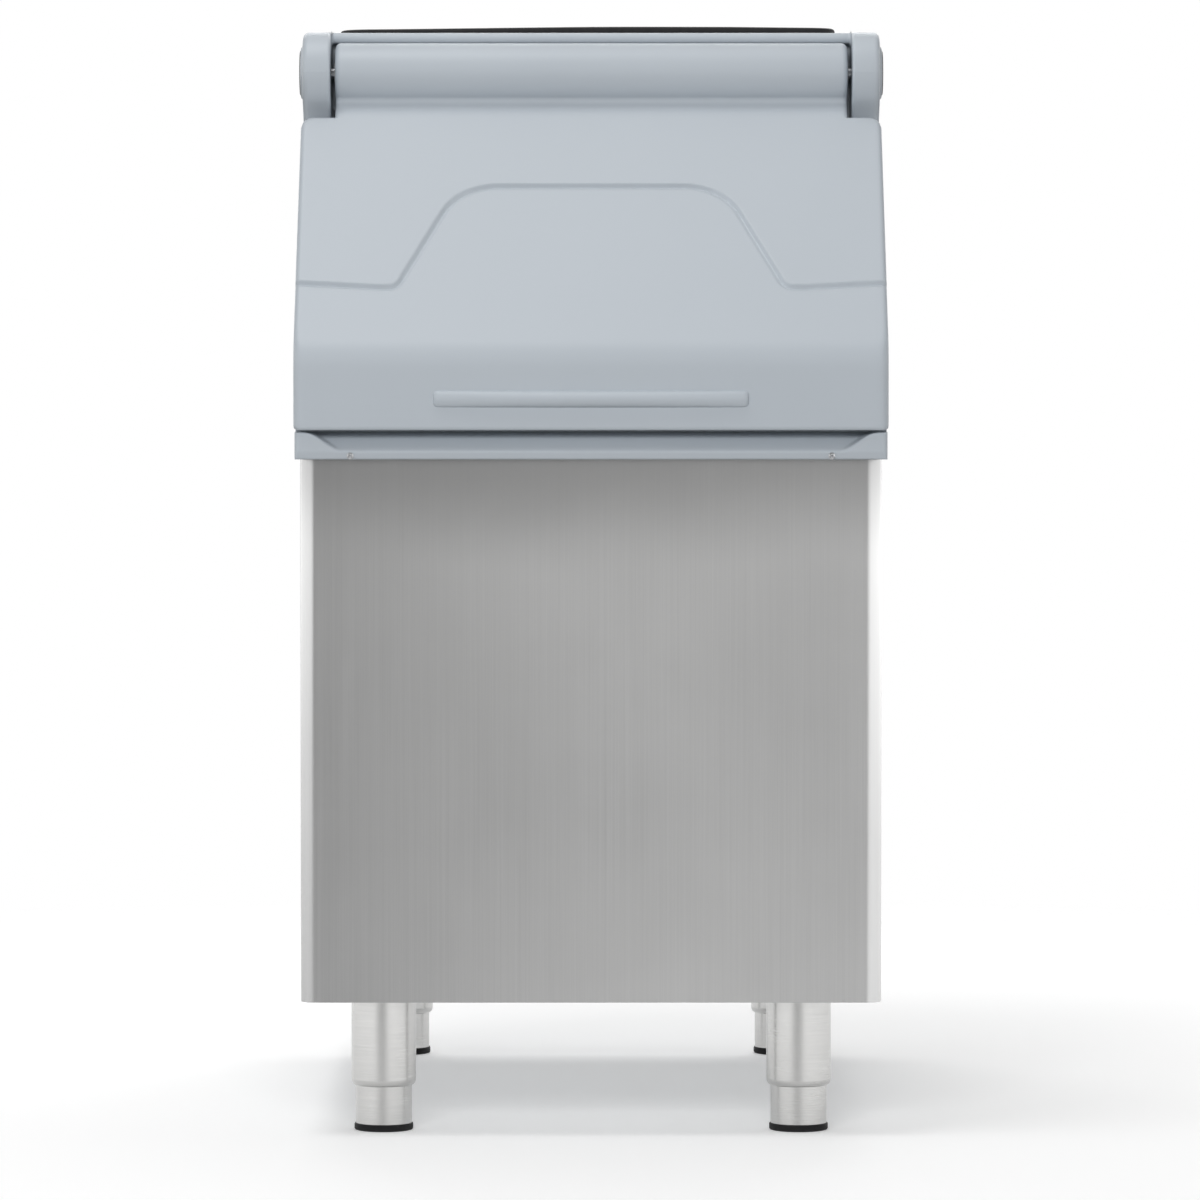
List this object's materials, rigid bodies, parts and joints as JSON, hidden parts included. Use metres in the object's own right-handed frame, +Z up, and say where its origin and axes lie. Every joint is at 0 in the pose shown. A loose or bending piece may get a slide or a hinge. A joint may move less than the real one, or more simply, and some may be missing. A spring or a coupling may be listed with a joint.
{
  "type": "ice storage bin",
  "caption": "Insulated free-standing ice storage bin with a sloping lift-up door on a barrel hinge, an open gasketed deck for an ice maker, a drain and adjustable legs.",
  "frame": {"origin": "on the floor under the middle of the outline", "axes": "+Z up, -Y the front with the door, +X the right-hand side seen from the front"},
  "size_m": [0.575, 0.89, 1.078],
  "materials": {
    "stainless": "vertically brushed stainless steel",
    "leg_steel": "satin stainless tube",
    "galvanised": "galvanised sheet, faint spangle",
    "zinc_steel": "bright zinc plating",
    "grey_plastic": "fine-textured moulded plastic, light blue-grey",
    "light_plastic": "smooth moulded plastic, pale grey",
    "white_plastic": "smooth food-grade polyethylene",
    "nylon": "natural nylon",
    "black_plastic": "dark moulded plastic",
    "black_rubber": "matt rubber",
    "brass": "turned brass",
    "foam": "rigid polyurethane foam"
  },
  "bodies": {
    "cabinet": {"outer_wrap": "stainless", "rear_panel": "galvanised", "bottom_panel": "galvanised", "liner": "white_plastic", "insulation": "foam", "front_frame": "grey_plastic", "top_panel": "grey_plastic", "top_gasket": "black_rubber", "deck_inserts": "brass", "base_rail_front": "galvanised", "base_rail_rear": "galvanised", "leg_nuts": "zinc_steel", "hinge_pin_left": "zinc_steel", "hinge_pin_right": "zinc_steel", "hinge_cap_left": "black_plastic", "hinge_cap_right": "black_plastic", "lip_screws": "zinc_steel", "rear_screws": "zinc_steel", "ice_baffle": "white_plastic", "baffle_screws": "zinc_steel", "drain_fitting": "nylon", "drain_nut": "nylon", "drain_seal": "black_rubber", "drain_strainer": "stainless", "leg_tube_front_left": "leg_steel", "leg_plug_front_left": "zinc_steel", "leg_tube_front_right": "leg_steel", "leg_plug_front_right": "zinc_steel", "leg_tube_rear_left": "leg_steel", "leg_plug_rear_left": "zinc_steel", "leg_tube_rear_right": "leg_steel", "leg_plug_rear_right": "zinc_steel"},
    "door": {"door_outer_skin": "grey_plastic", "door_inner_skin": "light_plastic", "door_foam": "foam", "door_gasket": "black_rubber", "door_bush_left": "nylon", "door_bush_right": "nylon", "door_screws": "zinc_steel"},
    "foot_front_left": {"foot_tube_front_left": "leg_steel", "foot_stem_front_left": "zinc_steel", "foot_pad_front_left": "black_rubber"},
    "foot_front_right": {"foot_tube_front_right": "leg_steel", "foot_stem_front_right": "zinc_steel", "foot_pad_front_right": "black_rubber"},
    "foot_rear_left": {"foot_tube_rear_left": "leg_steel", "foot_stem_rear_left": "zinc_steel", "foot_pad_rear_left": "black_rubber"},
    "foot_rear_right": {"foot_tube_rear_right": "leg_steel", "foot_stem_rear_right": "zinc_steel", "foot_pad_rear_right": "black_rubber"}
  },
  "joints": [
    {"name": "door_hinge", "type": "hinge", "parent": "cabinet", "child": "door", "pos_m": [0, -0.20097, 1.031], "axis": [-1, 0, 0], "range_deg": [0, 150]},
    {"name": "foot_front_left_screw", "type": "slide", "parent": "cabinet", "child": "foot_front_left", "axis": [0, 0, -1], "range_m": [-0.012, 0.026]},
    {"name": "foot_front_right_screw", "type": "slide", "parent": "cabinet", "child": "foot_front_right", "axis": [0, 0, -1], "range_m": [-0.012, 0.026]},
    {"name": "foot_rear_left_screw", "type": "slide", "parent": "cabinet", "child": "foot_rear_left", "axis": [0, 0, -1], "range_m": [-0.012, 0.026]},
    {"name": "foot_rear_right_screw", "type": "slide", "parent": "cabinet", "child": "foot_rear_right", "axis": [0, 0, -1], "range_m": [-0.012, 0.026]}
  ]
}
